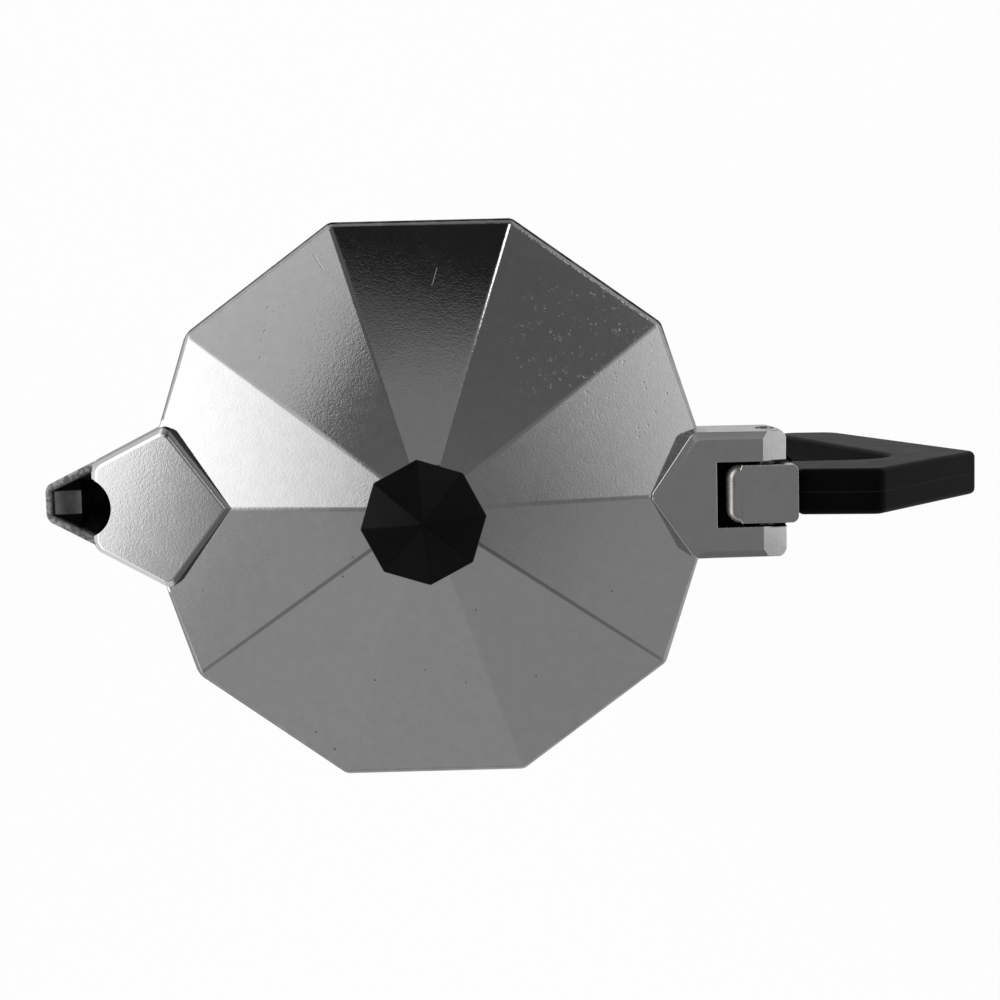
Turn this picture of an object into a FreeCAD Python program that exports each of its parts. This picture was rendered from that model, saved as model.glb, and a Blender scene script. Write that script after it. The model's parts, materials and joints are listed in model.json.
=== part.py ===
import FreeCAD, Part
import math
import os

# Stovetop coffee maker in millimetres. The origin is the middle of the foot, +Z is up,
# the handle points along +X and the spout along -X.

# Ten-sided body, with one corner at the spout and one at the handle
side_count = 10
boiler_height = 92.0
boiler_foot_flats = 125.0
waist_flats = 98.0
rim_flats = 116.4
collector_height = 103.4
waist_gap = 0.6
edge_bevel = 1.0
boiler_wall = 3.2
boiler_floor = 4.0
shoulder_thickness = 4.0
collector_wall = 3.0
collector_floor = 3.0

# Neck of the boiler and its right-hand thread
neck_height = 14.0
neck_radius = 40.0
thread_pitch = 4.0
thread_turns = 2.25
thread_depth = 1.6
thread_root_width = 1.7
thread_crest_width = 1.0
thread_start = 2.0
thread_clearance = 0.5
thread_sink = 0.4
thread_turn_angle = 30.0

# Holes in the first ring of a sieve; each further ring has as many more
ring_step_holes = 6

# Funnel, pressed from sheet, hanging in the neck by its flange
funnel_sheet = 1.0
basket_radius = 35.0
basket_clearance = 0.4
basket_depth = 22.0
flange_overhang = 2.5
flange_clearance = 0.3
screen_ledge = 1.5
cone_drop = 7.0
stem_radius = 7.0
stem_floor_gap = 6.0
screen_thickness = 1.0
screen_clearance = 0.2
screen_hole_radius = 0.8
screen_hole_spacing = 4.6
screen_hole_rings = 6

# Gasket and filter plate under the collector's floor
gasket_thickness = 4.0
gasket_radius = 39.3
gasket_bore_radius = 31.0
gasket_clearance = 0.4
seat_gap = 0.1
neck_headroom = 0.5
plate_thickness = 1.0
plate_radius = 35.0
plate_clearance = 0.4
plate_ledge = 3.0
plate_hole_radius = 1.0
plate_hole_spacing = 4.8
plate_hole_rings = 5
chamber_rise = 4.0

# Riser column, pressed into the collector's floor
column_height = 58.0
column_base_radius = 9.5
column_top_radius = 7.0
column_bore_radius = 4.5
column_spigot_radius = 7.0
column_cap = 2.5
column_window_width = 5.0
column_window_height = 7.0
press_clearance = 0.02

# Spout, cast on the collector's front corner
spout_overhang = 22.5
spout_tip_width = 7.6
spout_root_width = 34.7
spout_slope = 16.0
spout_depth = 60.0
spout_wall = 2.2

# Lid, a shallow ten-sided roof with a tight edge
lid_flats = 118.0
lid_seat_gap = 0.2
lid_edge_height = 3.3
lid_edge_bevel = 0.7
lid_rise = 18.9
lid_wall = 2.4
boss_flats = 18.0
boss_height = 0.8

# Draft, in degrees, of the walls of the two blocks raised on the lid
block_draft = 5.0

# Spout cover, raised on the lid's front corner
cover_overhang = 10.3
cover_front_width = 18.0
cover_apex_inset = 20.1
cover_corner_inset = 0.9
cover_rise = 7.2
cover_bevel = 1.0
cover_wall = 2.2
cover_notch_radius = 6.6
cover_notch_depth = 4.2

# Hinge: a fork on the lid, a lug on the collector and a pin through both
pin_overhang = 10.4
pin_height = 5.1
pin_radius = 2.0
pin_running_clearance = 0.06
pin_end_inset = 0.15
knuckle_radius = 4.2
knuckle_slope_length = 5.2
knuckle_fall = 1.7
fork_apex_inset = 14.3
fork_root_inset = 5.1
fork_root_width = 26.8
fork_end_width = 26.6
fork_bevel = 1.6
fork_bevel_depth = 0.35
fork_side_gap = 0.7
fork_notch_gap = 2.2
lug_width = 12.4
lug_front = 8.4
lug_back = 6.6
lug_round = 3.0
lug_back_round = 1.5
lug_base_width = 20.0
lug_base_gap = 1.0
lug_depth = 13.0
lug_gusset_depth = 34.0

# Handle, moulded round a tang on the lug
tang_length = 15.0
tang_width = 5.6
tang_top = 2.5
tang_bottom = 6.5
tang_clearance = 0.1
handle_gap = 0.1
handle_width = 9.8
handle_edge_round = 1.4
arm_rise = 7.2
arm_underside = 11.8
shoulder_reach = 17.3
shoulder_rise = 9.9
shoulder_round = 3.0
elbow_reach = 45.3
elbow_drop = 24.6
elbow_round = 2.5
heel_reach = 23.7
heel_drop = 87.2
heel_round = 6.0
toe_reach = 7.1
toe_drop = 89.6
toe_round = 5.0
crook_reach = 27.7
crook_round = 10.0
arm_end_round = 1.5
handle_screw_radius = 1.5
handle_screw_reach = 7.5
handle_screw_head_radius = 2.8
handle_screw_head_height = 2.0
screw_recess_clearance = 0.2

# Knob on the lid, with its brass insert, screw and washer
knob_sides = 8
knob_turn = 4.9
knob_height = 23.2
knob_base_flats = 15.0
knob_waist_flats = 14.0
knob_waist_height = 4.0
knob_flats = 22.9
knob_edge = 2.0
knob_edge_draft = 0.8
knob_crown = 3.6
knob_tip_flats = 0.6
insert_radius = 3.4
insert_length = 15.0
knob_screw_radius = 2.0
knob_screw_bite = 12.0
knob_screw_head_radius = 4.0
knob_screw_head_height = 2.4
knob_washer_radius = 5.2
knob_washer_thickness = 0.8
screw_hole_clearance = 0.2
driver_slot_width = 1.0
driver_slot_depth = 1.2

# Safety valve in the boiler's front facet
valve_height = 58.0
valve_boss_radius = 9.5
valve_boss_proud = 2.6
valve_washer_radius = 8.0
valve_washer_thickness = 1.0
valve_hex_sides = 6
valve_hex_flats = 14.0
valve_hex_length = 6.0
valve_shank_radius = 5.0
valve_shank_clearance = 0.05
valve_shank_inside = 2.5
valve_bore_radius = 3.4
valve_inlet_radius = 1.8
valve_inlet_length = 2.0
valve_cap_thickness = 1.6
plunger_head_radius = 2.9
plunger_head_thickness = 1.4
plunger_stem_radius = 1.3
plunger_stem_proud = 3.2
plunger_guide_clearance = 0.1
seal_thickness = 1.0
spring_wire_radius = 0.25
spring_turns = 6
spring_radius = 2.1
spring_end_gap = 0.05

# Extra length of a cutting shape past the face it goes through
cut_margin = 5.0

# Heights and reaches that follow from the sizes above
neck_top = boiler_height + neck_height
neck_bore_radius = basket_radius + basket_clearance
flange_radius = basket_radius + flange_overhang
basket_inside_radius = basket_radius - funnel_sheet
screen_seat = neck_top - basket_depth
gasket_bottom = neck_top + seat_gap
plate_bottom = gasket_bottom + gasket_thickness
plate_ceiling = plate_bottom + plate_thickness + seat_gap
chamber_top = plate_ceiling + chamber_rise
floor_top = chamber_top + collector_floor
collector_base = boiler_height + waist_gap
rim = collector_base + collector_height
socket_radius = neck_radius + thread_depth + thread_clearance
lid_base = rim + lid_seat_gap
lid_shoulder = lid_base + lid_edge_height + lid_edge_bevel
boss_top = lid_shoulder + lid_rise * (1 - boss_flats / lid_flats) + boss_height
lid_ceiling = boss_top - boss_height - lid_wall


def vec(x, y, z):
    return FreeCAD.Vector(x, y, z)


def corner_radius(flats):
    """Distance from the axis to a corner of the ten-sided ring with this width."""
    return flats / 2 / math.cos(math.pi / side_count)


rim_corner = corner_radius(rim_flats)
pin_x = rim_corner + pin_overhang
pin_z = rim + pin_height
lug_end = pin_x + lug_back
slope = math.tan(math.radians(spout_slope))
spout_root_reach = rim_corner - spout_root_width / 2 * math.tan(math.pi / side_count)
spout_tip_reach = rim_corner + spout_overhang


def stacked(rings):
    """Solid with flat faces between rings of as many points each."""
    faces = [Part.Face(Part.makePolygon(ring + ring[:1])) for ring in (rings[0], rings[-1])]
    for low, high in zip(rings, rings[1:]):
        for k in range(len(low)):
            n = (k + 1) % len(low)
            faces.append(Part.Face(Part.makePolygon([low[k], low[n], high[n], high[k], low[k]])))
    solid = Part.Solid(Part.Shell(faces))
    if solid.Volume < 0:
        solid.reverse()
    return solid


def faceted(levels, count=side_count, turn=0.0):
    """Solid of regular rings, each given by its width across flats and its height."""
    rings = []
    for flats, z in levels:
        radius = flats / 2 / math.cos(math.pi / count)
        angles = [math.radians(turn) + 2 * math.pi * k / count for k in range(count)]
        rings.append([vec(radius * math.cos(a), radius * math.sin(a), z) for a in angles])
    return stacked(rings)


def inset(outline, distance):
    """Plan outline moved inwards, with its corners kept sharp; points run anticlockwise."""
    moved = []
    count = len(outline)
    for k in range(count):
        x, y = outline[k]
        ax, ay = x - outline[k - 1][0], y - outline[k - 1][1]
        bx, by = outline[(k + 1) % count][0] - x, outline[(k + 1) % count][1] - y
        a, b = math.hypot(ax, ay), math.hypot(bx, by)
        nx, ny = -ay / a - by / b, ax / a + bx / b
        stretch = 2 * distance / (nx * nx + ny * ny)
        moved.append((x + nx * stretch, y + ny * stretch))
    return moved


def raised_block(outline, bevel, bevel_depth, depth, top_at):
    """Block under the plane top_at(x), with drafted walls; the outline is that of its bevelled top edge."""
    spread = (depth - bevel_depth) * math.tan(math.radians(block_draft))
    foot = [vec(x, y, top_at(x) - depth) for x, y in inset(outline, -spread)]
    edge = [vec(x, y, top_at(x) - bevel_depth) for x, y in outline]
    crown = [vec(x, y, top_at(x)) for x, y in inset(outline, bevel)]
    return stacked([foot, edge, crown])


def rounded_wire(corners, place):
    """Closed wire through (u, v, radius) corners, each rounded by an arc."""
    arcs = []
    count = len(corners)
    for k, (u, v, radius) in enumerate(corners):
        here = place(u, v)
        back = (place(*corners[k - 1][:2]) - here).normalize()
        ahead = (place(*corners[(k + 1) % count][:2]) - here).normalize()
        half = back.getAngle(ahead) / 2
        setback = radius / math.tan(half)
        middle = here + (back + ahead).normalize() * (radius / math.sin(half) - radius)
        arcs.append((here + back * setback, middle, here + ahead * setback))
    edges = []
    for k, (start, middle, stop) in enumerate(arcs):
        edges.append(Part.Arc(start, middle, stop).toShape())
        edges.append(Part.LineSegment(stop, arcs[(k + 1) % count][0]).toShape())
    return Part.Wire(edges)


def in_plan(u, v):
    return vec(u, v, 0)


def in_side(u, v):
    return vec(u, 0, v)


def side_slab(outline, width):
    """Plate of an outline in the XZ plane, centred on Y."""
    wire = Part.makePolygon([vec(x, -width / 2, z) for x, z in outline + outline[:1]])
    return Part.Face(wire).extrude(vec(0, width, 0))


def lathe(profile):
    """Solid turned about Z from (radius, height) points."""
    wire = Part.makePolygon([vec(r, 0, z) for r, z in profile + profile[:1]])
    return Part.Face(wire).revolve(vec(0, 0, 0), vec(0, 0, 1), 360)


def cylinder(radius, bottom, top, x=0.0):
    return Part.makeCylinder(radius, top - bottom, vec(x, 0, bottom))


def cross_rod(radius, length, x, z):
    """Cylinder along Y, centred on the XZ plane."""
    return Part.makeCylinder(radius, length, vec(x, -length / 2, z), vec(0, 1, 0))


def perforated_disc(radius, thickness, bottom, hole_radius, spacing, ring_count):
    """Disc with a middle hole and rings of holes round it."""
    up = vec(0, 0, 1)
    centres = [vec(0, 0, bottom)]
    for ring in range(1, ring_count + 1):
        hole_count = ring_step_holes * ring
        for k in range(hole_count):
            a = 2 * math.pi * k / hole_count
            centres.append(vec(ring * spacing * math.cos(a), ring * spacing * math.sin(a), bottom))
    edge = Part.Wire(Part.makeCircle(radius, vec(0, 0, bottom), up))
    holes = [Part.Wire(Part.makeCircle(hole_radius, c, up)) for c in centres]
    face = Part.Face(edge).cut(Part.Compound([Part.Face(hole) for hole in holes]))
    return face.extrude(vec(0, 0, thickness)).Solids[0]


def thread_ridge(wall_radius, depth, start):
    """Right-hand trapezoidal ridge; a positive depth stands out of a neck, a negative into a socket."""
    root = wall_radius - math.copysign(thread_sink, depth)
    crest = wall_radius + depth
    flare = (thread_root_width - thread_crest_width) / abs(depth) * thread_sink
    root_half = (thread_root_width + flare) / 2
    crest_half = thread_crest_width / 2
    points = [(root, -root_half), (crest, -crest_half), (crest, crest_half), (root, root_half)]
    profile = Part.makePolygon([vec(r, 0, z) for r, z in points + points[:1]])
    helix = Part.Wire(Part.makeHelix(thread_pitch, thread_pitch * thread_turns, wall_radius))
    ridge = helix.makePipeShell([profile], True, True)
    ridge.rotate(vec(0, 0, 0), vec(0, 0, 1), thread_turn_angle)
    ridge.translate(vec(0, 0, start))
    return ridge


def flats_at(z, low_flats, low_z, high_flats, high_z):
    """Width across flats of a straight-sided body at height z."""
    return low_flats + (high_flats - low_flats) * (z - low_z) / (high_z - low_z)


valve_facet = flats_at(valve_height, boiler_foot_flats, edge_bevel, waist_flats, boiler_height) / 2
valve_face = valve_facet + valve_boss_proud
valve_inner_end = -(valve_boss_proud + boiler_wall + valve_shank_inside)
valve_seat = valve_inner_end + valve_inlet_length
valve_outer_end = valve_washer_thickness + valve_hex_length
valve_cap_inside = valve_outer_end - valve_cap_thickness
plunger_shoulder = valve_seat + seat_gap + seal_thickness + plunger_head_thickness


def on_valve_axis(shape):
    """Turns a shape made along Z from the boss face outwards, and puts it on the boiler's -Y facet."""
    shape.rotate(vec(0, 0, 0), vec(1, 0, 0), 90)
    shape.translate(vec(0, -valve_face, valve_height))
    return shape


def boiler():
    shell = faceted([
        (boiler_foot_flats - 2 * edge_bevel, 0),
        (boiler_foot_flats, edge_bevel),
        (flats_at(boiler_height - edge_bevel, boiler_foot_flats, edge_bevel, waist_flats, boiler_height),
         boiler_height - edge_bevel),
        (waist_flats - 2 * edge_bevel, boiler_height),
    ])
    neck = cylinder(neck_radius, boiler_height - shoulder_thickness, neck_top)
    boss = on_valve_axis(cylinder(valve_boss_radius, -valve_boss_proud - boiler_wall, 0))
    water_space = faceted([
        (boiler_foot_flats - 2 * boiler_wall, boiler_floor),
        (waist_flats - 2 * boiler_wall, boiler_height - shoulder_thickness),
    ])
    neck_bore = cylinder(neck_bore_radius, boiler_height - shoulder_thickness - cut_margin, neck_top)
    recess = cylinder(flange_radius + flange_clearance, neck_top - funnel_sheet, neck_top)
    shank_hole_radius = valve_shank_radius + valve_shank_clearance
    valve_hole = on_valve_axis(cylinder(shank_hole_radius, valve_inner_end - cut_margin, cut_margin))
    ridge = thread_ridge(neck_radius, thread_depth, boiler_height + thread_start)
    body = shell.fuse([neck, boss]).cut([water_space, neck_bore, recess, valve_hole])
    return body.fuse(ridge).removeSplitter()


def funnel():
    stem_end = boiler_floor + stem_floor_gap
    ledge_radius = basket_inside_radius - screen_ledge
    return lathe([
        (flange_radius, neck_top - funnel_sheet),
        (flange_radius, neck_top),
        (basket_inside_radius, neck_top),
        (basket_inside_radius, screen_seat),
        (ledge_radius, screen_seat),
        (stem_radius - funnel_sheet, screen_seat - cone_drop),
        (stem_radius - funnel_sheet, stem_end),
        (stem_radius, stem_end),
        (stem_radius, screen_seat - cone_drop - funnel_sheet),
        (basket_radius, screen_seat - funnel_sheet),
        (basket_radius, neck_top - funnel_sheet),
    ])


def funnel_screen():
    return perforated_disc(basket_inside_radius - screen_clearance, screen_thickness, screen_seat,
                           screen_hole_radius, screen_hole_spacing, screen_hole_rings)


def gasket():
    ring = cylinder(gasket_radius, gasket_bottom, plate_bottom)
    return ring.cut(cylinder(gasket_bore_radius, gasket_bottom, plate_bottom))


def filter_plate():
    return perforated_disc(plate_radius, plate_thickness, plate_bottom,
                           plate_hole_radius, plate_hole_spacing, plate_hole_rings)


def spout_wedge(thickness, lift):
    """Pyramid with its point on the keel; thickness moves its walls in, lift raises its open top."""
    side_angle = math.atan2((spout_root_width - spout_tip_width) / 2, spout_tip_reach - spout_root_reach)
    tip_half = spout_tip_width / 2 - thickness * math.tan(math.pi / 4 - side_angle / 2)
    tip_x = spout_tip_reach - thickness
    rear_x = spout_root_reach - spout_overhang
    rear_half = tip_half + (tip_x - rear_x) * math.tan(side_angle)
    keel_flats = flats_at(rim - spout_depth, waist_flats, collector_base, rim_flats, rim)
    keel = vec(thickness - corner_radius(keel_flats) + collector_wall, 0, rim - spout_depth + 2 * thickness)
    plan = [(-rear_x, -rear_half), (-rear_x, rear_half), (-tip_x, tip_half), (-tip_x, -tip_half)]
    top = [vec(x, y, rim + slope * (x + spout_root_reach)) for x, y in plan]
    top = [keel + (point - keel) * (1 + lift) for point in top]
    faces = [Part.Face(Part.makePolygon(top + top[:1]))]
    for k in range(4):
        faces.append(Part.Face(Part.makePolygon([top[k - 1], top[k], keel, top[k - 1]])))
    solid = Part.Solid(Part.Shell(faces))
    if solid.Volume < 0:
        solid.reverse()
    return solid


def hinge_lug():
    """Upright block that carries the pin, its gusset down the wall and the tang for the handle."""
    front = pin_x - lug_front
    half = lug_width / 2
    plan = rounded_wire([
        (front, -half, lug_round),
        (lug_end, -half, lug_back_round),
        (lug_end, half, lug_back_round),
        (front, half, lug_round),
    ], in_plan)
    block = Part.Face(plan).extrude(vec(0, 0, pin_height + knuckle_radius + lug_depth))
    block.translate(vec(0, 0, rim - lug_depth))
    wall_x = rim_corner - collector_wall - cut_margin
    base_half = lug_base_width / 2
    waist_x = lug_end - base_half + half
    base_plan = [(wall_x, -base_half), (waist_x, -base_half), (lug_end, -half),
                 (lug_end, half), (waist_x, base_half), (wall_x, base_half)]
    base = Part.Face(Part.makePolygon([vec(x, y, rim - lug_depth) for x, y in base_plan + base_plan[:1]]))
    base = base.extrude(vec(0, 0, lug_depth - lug_base_gap))
    web = side_slab([
        (wall_x, rim - lug_gusset_depth),
        (lug_end - lug_back_round, rim - lug_depth),
        (lug_end - lug_back_round, rim),
        (wall_x, rim),
    ], lug_width)
    tang = side_slab([
        (pin_x, rim - tang_bottom),
        (lug_end + tang_length, rim - tang_bottom),
        (lug_end + tang_length, rim + tang_top),
        (pin_x, rim + tang_top),
    ], tang_width)
    return block.fuse([base, web, tang])


def collector():
    def inside_flats(z):
        return flats_at(z, waist_flats, collector_base, rim_flats, rim) - 2 * collector_wall

    body = faceted([
        (waist_flats - 2 * edge_bevel, collector_base),
        (flats_at(collector_base + edge_bevel, waist_flats, collector_base, rim_flats, rim),
         collector_base + edge_bevel),
        (rim_flats, rim),
    ])
    reach = spout_tip_reach + cut_margin
    below_rim = Part.makeBox(2 * reach, 2 * reach, rim, vec(-reach, -reach, 0))
    spout = spout_wedge(0, 0).common(below_rim)
    hollow = faceted([(inside_flats(floor_top), floor_top), (inside_flats(rim), rim + cut_margin)])
    above_floor = below_rim.translated(vec(0, 0, floor_top))
    channel = spout_wedge(spout_wall, 1).common(above_floor)
    seat_radius = gasket_radius + gasket_clearance
    socket = lathe([
        (0, collector_base - cut_margin),
        (socket_radius, collector_base - cut_margin),
        (socket_radius, neck_top + neck_headroom),
        (seat_radius, neck_top + neck_headroom),
        (seat_radius, plate_bottom + seat_gap),
        (plate_radius + plate_clearance, plate_bottom + seat_gap),
        (plate_radius + plate_clearance, plate_ceiling),
        (plate_radius - plate_ledge, plate_ceiling),
        (column_bore_radius, chamber_top),
        (0, chamber_top),
    ])
    column_hole = cylinder(column_spigot_radius + press_clearance, chamber_top, floor_top + cut_margin)
    pin_hole = cross_rod(pin_radius + press_clearance, 2 * lug_width, pin_x, pin_z)
    screw_hole = cylinder(handle_screw_radius + press_clearance, rim - arm_underside, rim + arm_rise,
                          lug_end + handle_screw_reach)
    shell = body.fuse([spout, hinge_lug()])
    shell = shell.cut([hollow, channel, socket, column_hole, pin_hole, screw_hole])
    ridge = thread_ridge(socket_radius, -thread_depth, boiler_height + thread_start + thread_pitch / 2)
    return shell.fuse(ridge).removeSplitter()


def riser_column():
    top = floor_top + column_height
    outside = lathe([
        (0, chamber_top),
        (column_spigot_radius, chamber_top),
        (column_spigot_radius, floor_top),
        (column_base_radius, floor_top),
        (column_top_radius, top),
        (0, top),
    ])
    bore = cylinder(column_bore_radius, chamber_top, top - column_cap)
    window_bottom = top - column_cap - column_window_height
    window = Part.makeBox(column_window_width, 2 * column_base_radius, column_window_height,
                          vec(-column_window_width / 2, -column_base_radius, window_bottom))
    return outside.cut([bore, window])


def cover_outline(front_reach):
    """Plan of the spout cover: a point towards the knob, two corners at the rim, a narrower front."""
    apex_x = rim_corner - cover_apex_inset
    corner_x = spout_root_reach - cover_corner_inset
    root_half = spout_root_width / 2
    front_half = cover_front_width / 2
    taper = (root_half - front_half) / (rim_corner + cover_overhang - corner_x)
    end_half = root_half - taper * (front_reach - corner_x)
    return [(-apex_x, 0), (-corner_x, root_half), (-front_reach, end_half),
            (-front_reach, -end_half), (-corner_x, -root_half)]


def spout_cover():
    """Raised cover, its top and its foot both parallel to the sloping lip of the spout."""
    def top_at(x):
        return lid_base + cover_rise + slope * (x + spout_root_reach)

    front = rim_corner + cover_overhang
    block = raised_block(cover_outline(front), cover_bevel, cover_bevel, 2 * cover_rise, top_at)
    far = front + spout_overhang
    lip_drop = slope * (far - spout_root_reach)
    under = side_slab([
        (0, lid_base),
        (-spout_root_reach, lid_base),
        (-far, lid_base - lip_drop),
        (-far, lid_base - spout_depth - cut_margin),
        (0, lid_base - spout_depth - cut_margin),
    ], 2 * spout_root_width)
    notch_x = -(front - cover_notch_depth + cover_notch_radius)
    notch = cylinder(cover_notch_radius, rim - spout_depth, lid_ceiling, notch_x)
    return block.cut([under, notch])


def cover_hollow():
    """Space under the spout cover, open towards the tip of the spout."""
    def ceiling_at(x):
        return lid_base + cover_rise - cover_wall + slope * (x + spout_root_reach)

    outline = inset(cover_outline(rim_corner + cover_overhang + spout_wall), cover_wall)
    outline = outline[:2] + [(x - cover_wall - cut_margin, y) for x, y in outline[2:4]] + outline[4:]
    return raised_block(outline, cover_bevel, cover_bevel, 2 * cover_rise, ceiling_at)


def hinge_fork():
    """Plate that points at the knob and ends in two knuckles, round below and sloping above."""
    apex_x = rim_corner - fork_apex_inset
    root_x = rim_corner - fork_root_inset
    end_x = pin_x + knuckle_radius
    root_half = fork_root_width / 2
    end_half = fork_end_width / 2
    outline = [(apex_x, 0), (root_x, -root_half), (end_x, -end_half), (end_x, end_half), (root_x, root_half)]
    top = pin_z + knuckle_radius
    bottom = pin_z - knuckle_radius
    block = raised_block(outline, fork_bevel, fork_bevel_depth, 2 * knuckle_radius, lambda x: top)
    lengthwise = side_slab([
        (0, bottom),
        (pin_x, bottom),
        (end_x, pin_z),
        (end_x, top - knuckle_fall),
        (end_x - knuckle_slope_length, top),
        (0, top),
    ], 2 * fork_root_width)
    lower = side_slab([(0, bottom), (end_x, bottom), (end_x, pin_z), (0, pin_z)], 2 * fork_root_width)
    knuckle = cross_rod(knuckle_radius, 2 * fork_root_width, pin_x, pin_z).common(lower)
    return block.common(lengthwise.fuse(knuckle))


def lid():
    edge_top = lid_base + lid_edge_height
    roof = faceted([
        (lid_flats - lid_edge_bevel, lid_base),
        (lid_flats, lid_base + lid_edge_bevel / 2),
        (lid_flats, edge_top),
        (lid_flats - 2 * lid_edge_bevel, lid_shoulder),
        (boss_flats, boss_top - boss_height),
        (boss_flats, boss_top),
    ])
    underside = faceted([
        (lid_flats - 2 * lid_edge_bevel - 2 * lid_wall, lid_base - cut_margin),
        (lid_flats - 2 * lid_edge_bevel - 2 * lid_wall, lid_shoulder - lid_wall),
        (boss_flats, lid_ceiling),
    ])
    notch_half = lug_width / 2 + fork_side_gap
    notch_front = pin_x - lug_front - fork_notch_gap
    notch = side_slab([
        (notch_front, lid_base - cut_margin),
        (lug_end + cut_margin, lid_base - cut_margin),
        (lug_end + cut_margin, boss_top),
        (notch_front, boss_top),
    ], 2 * notch_half)
    pin_hole = cross_rod(pin_radius + pin_running_clearance, 2 * fork_root_width, pin_x, pin_z)
    screw_hole = cylinder(knob_screw_radius + screw_hole_clearance, lid_ceiling - cut_margin,
                          boss_top + cut_margin)
    cast = roof.fuse([hinge_fork(), spout_cover()])
    return cast.cut([underside, cover_hollow(), notch, pin_hole, screw_hole]).removeSplitter()


def hinge_pin():
    spread = (knuckle_radius - fork_bevel_depth) * math.tan(math.radians(block_draft))
    return cross_rod(pin_radius, fork_end_width + 2 * (spread - pin_end_inset), pin_x, pin_z)


def handle():
    start = lug_end + handle_gap
    outline = rounded_wire([
        (start, rim + arm_rise, arm_end_round),
        (start + shoulder_reach, rim + shoulder_rise, shoulder_round),
        (start + elbow_reach, rim - elbow_drop, elbow_round),
        (start + heel_reach, rim - heel_drop, heel_round),
        (start + toe_reach, rim - toe_drop, toe_round),
        (start + crook_reach, rim - arm_underside, crook_round),
        (start, rim - arm_underside, arm_end_round),
    ], in_side)
    outline.translate(vec(0, -handle_width / 2, 0))
    bar = Part.Face(outline).extrude(vec(0, handle_width, 0))
    long_edges = [e for e in bar.Edges if abs(e.Vertexes[0].Y - e.Vertexes[-1].Y) < handle_width / 2]
    bar = bar.makeFillet(handle_edge_round, long_edges)
    pocket = side_slab([
        (lug_end - cut_margin, rim - tang_bottom - tang_clearance),
        (lug_end + tang_length + tang_clearance, rim - tang_bottom - tang_clearance),
        (lug_end + tang_length + tang_clearance, rim + tang_top + tang_clearance),
        (lug_end - cut_margin, rim + tang_top + tang_clearance),
    ], tang_width + 2 * tang_clearance)
    screw_x = lug_end + handle_screw_reach
    shank_hole = cylinder(handle_screw_radius + screw_hole_clearance, rim - arm_underside - cut_margin,
                          rim + tang_top, screw_x)
    head_recess = cylinder(handle_screw_head_radius + screw_recess_clearance, rim - arm_underside - cut_margin,
                           rim - arm_underside + handle_screw_head_height, screw_x)
    return bar.cut([pocket, shank_hole, head_recess])


def slotted_screw(shank_radius, head_radius, head_height, head_bottom, tip, x=0.0):
    """Pan-head screw standing on its head, with a driver slot underneath."""
    head_top = head_bottom + head_height
    screw = cylinder(head_radius, head_bottom, head_top, x).fuse(cylinder(shank_radius, head_top, tip, x))
    slot = Part.makeBox(2 * head_radius, driver_slot_width, driver_slot_depth,
                        vec(x - head_radius, -driver_slot_width / 2, head_bottom))
    return screw.cut(slot)


def handle_screw():
    return slotted_screw(handle_screw_radius, handle_screw_head_radius, handle_screw_head_height,
                         rim - arm_underside, rim + tang_top, lug_end + handle_screw_reach)


def lid_knob():
    widest = boss_top + knob_height
    body = faceted([
        (knob_base_flats, boss_top),
        (knob_waist_flats, boss_top + knob_waist_height),
        (knob_flats - knob_edge_draft, widest - knob_edge),
        (knob_flats, widest),
        (knob_tip_flats, widest + knob_crown),
    ], knob_sides, knob_turn)
    return body.cut(cylinder(insert_radius, boss_top, boss_top + insert_length))


def knob_insert():
    sleeve = cylinder(insert_radius, boss_top, boss_top + insert_length)
    return sleeve.cut(cylinder(knob_screw_radius + press_clearance, boss_top, boss_top + insert_length))


def knob_washer():
    bottom = lid_ceiling - knob_washer_thickness
    disc = cylinder(knob_washer_radius, bottom, lid_ceiling)
    return disc.cut(cylinder(knob_screw_radius + screw_hole_clearance, bottom, lid_ceiling))


def knob_screw():
    head_bottom = lid_ceiling - knob_washer_thickness - knob_screw_head_height
    return slotted_screw(knob_screw_radius, knob_screw_head_radius, knob_screw_head_height, head_bottom,
                         boss_top + knob_screw_bite)


def safety_valve_body():
    hex_head = faceted([
        (valve_hex_flats, valve_washer_thickness),
        (valve_hex_flats, valve_outer_end),
    ], valve_hex_sides)
    shank = cylinder(valve_shank_radius, valve_inner_end, valve_outer_end)
    bore = cylinder(valve_bore_radius, valve_seat, valve_outer_end)
    inlet = cylinder(valve_inlet_radius, valve_inner_end, valve_seat)
    return on_valve_axis(hex_head.fuse(shank).cut([bore, inlet]))


def safety_valve_cap():
    disc = cylinder(valve_bore_radius - press_clearance, valve_cap_inside, valve_outer_end)
    guide = cylinder(plunger_stem_radius + plunger_guide_clearance, valve_cap_inside, valve_outer_end)
    return on_valve_axis(disc.cut(guide))


def safety_valve_washer():
    disc = cylinder(valve_washer_radius, 0, valve_washer_thickness)
    hole = cylinder(valve_shank_radius + valve_shank_clearance, 0, valve_washer_thickness)
    return on_valve_axis(disc.cut(hole))


def safety_valve_seal():
    bottom = valve_seat + seat_gap
    return on_valve_axis(cylinder(plunger_head_radius, bottom, bottom + seal_thickness))


def safety_valve_plunger():
    head = cylinder(plunger_head_radius, plunger_shoulder - plunger_head_thickness, plunger_shoulder)
    stem = cylinder(plunger_stem_radius, plunger_shoulder, valve_outer_end + plunger_stem_proud)
    return on_valve_axis(head.fuse(stem))


def safety_valve_spring():
    length = valve_cap_inside - plunger_shoulder - 2 * (spring_wire_radius + spring_end_gap)
    helix = Part.Wire(Part.makeHelix(length / spring_turns, length, spring_radius))
    section = Part.Wire(Part.makeCircle(spring_wire_radius, vec(spring_radius, 0, 0), vec(0, 1, 0)))
    coil = helix.makePipeShell([section], True, True)
    coil.translate(vec(0, 0, plunger_shoulder + spring_wire_radius + spring_end_gap))
    return on_valve_axis(coil)


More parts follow.
